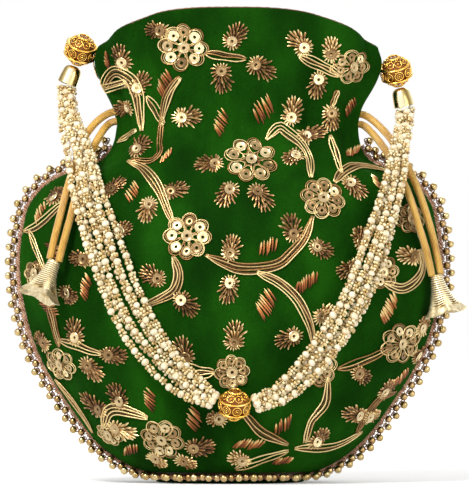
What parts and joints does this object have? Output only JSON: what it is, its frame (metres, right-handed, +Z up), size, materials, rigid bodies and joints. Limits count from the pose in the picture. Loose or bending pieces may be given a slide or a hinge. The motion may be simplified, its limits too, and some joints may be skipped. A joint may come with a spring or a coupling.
{
  "type": "potli bag",
  "caption": "Drawstring potli pouch in velvet with gold embroidery, a beaded edge, tasselled cords and a pearl strand handle.",
  "frame": {"origin": "on the floor, under the middle of the flat base", "axes": "+Z up, the front of the bag faces -Y, +X is the right side seen from the front"},
  "size_m": [0.221, 0.1258, 0.2275],
  "materials": {
    "green_velvet": "velvet pile",
    "rust_satin": "satin",
    "rose_lace": "lace",
    "antique_brass": "antique, polished",
    "filigree_gold": "bright gold",
    "embroidery_gold": "metallic thread and sequins",
    "pearl_cream": "pearl",
    "ochre_satin": "satin cord",
    "pale_gold_thread": "metallic thread"
  },
  "bodies": {
    "bag": {"front_panel": "green_velvet", "back_panel": "green_velvet", "lining": "rust_satin", "edge_lace": "rose_lace", "edge_beads_inner": "antique_brass", "edge_beads_outer": "antique_brass", "flower_01": "embroidery_gold", "flower_02": "embroidery_gold", "flower_03": "embroidery_gold", "flower_04": "embroidery_gold", "flower_05": "embroidery_gold", "flower_06": "embroidery_gold", "flower_07": "embroidery_gold", "flower_08": "embroidery_gold", "flower_09": "embroidery_gold", "flower_10": "embroidery_gold", "flower_11": "embroidery_gold", "vine_01": "embroidery_gold", "vine_02": "embroidery_gold", "vine_03": "embroidery_gold", "vine_04": "embroidery_gold", "vine_05": "embroidery_gold", "vine_06": "embroidery_gold", "vine_07": "embroidery_gold", "vine_08": "embroidery_gold", "vine_09": "embroidery_gold", "vine_10": "embroidery_gold", "vine_11": "embroidery_gold", "vine_12": "embroidery_gold", "handle_pin_left": "ochre_satin", "handle_pin_right": "ochre_satin", "drawstring_loop_left": "ochre_satin", "drawstring_loop_right": "ochre_satin", "drawstring_tail_left_inner": "ochre_satin", "drawstring_tail_left_outer": "ochre_satin", "drawstring_tail_right_inner": "ochre_satin", "drawstring_tail_right_outer": "ochre_satin", "tassel_left": "pale_gold_thread", "tassel_right": "pale_gold_thread"},
    "handle": {"filigree_ball_left": "filigree_gold", "filigree_ball_right": "filigree_gold", "filigree_ball_center": "filigree_gold", "cap_left": "antique_brass", "cap_right": "antique_brass", "pearl_strand_left_1": "pearl_cream", "pearl_strand_left_2": "pearl_cream", "pearl_strand_left_3": "pearl_cream", "pearl_strand_left_4": "pearl_cream", "pearl_strand_left_5": "pearl_cream", "pearl_strand_left_6": "pearl_cream", "pearl_strand_right_1": "pearl_cream", "pearl_strand_right_2": "pearl_cream", "pearl_strand_right_3": "pearl_cream", "pearl_strand_right_4": "pearl_cream", "pearl_strand_right_5": "pearl_cream", "pearl_strand_right_6": "pearl_cream"}
  },
  "joints": [
    {"name": "handle_swing", "type": "hinge", "parent": "bag", "child": "handle", "pos_m": [-0.0716, 0, 0.2074], "axis": [-0.9978, 0, 0.0667], "range_deg": [0, 270]}
  ]
}
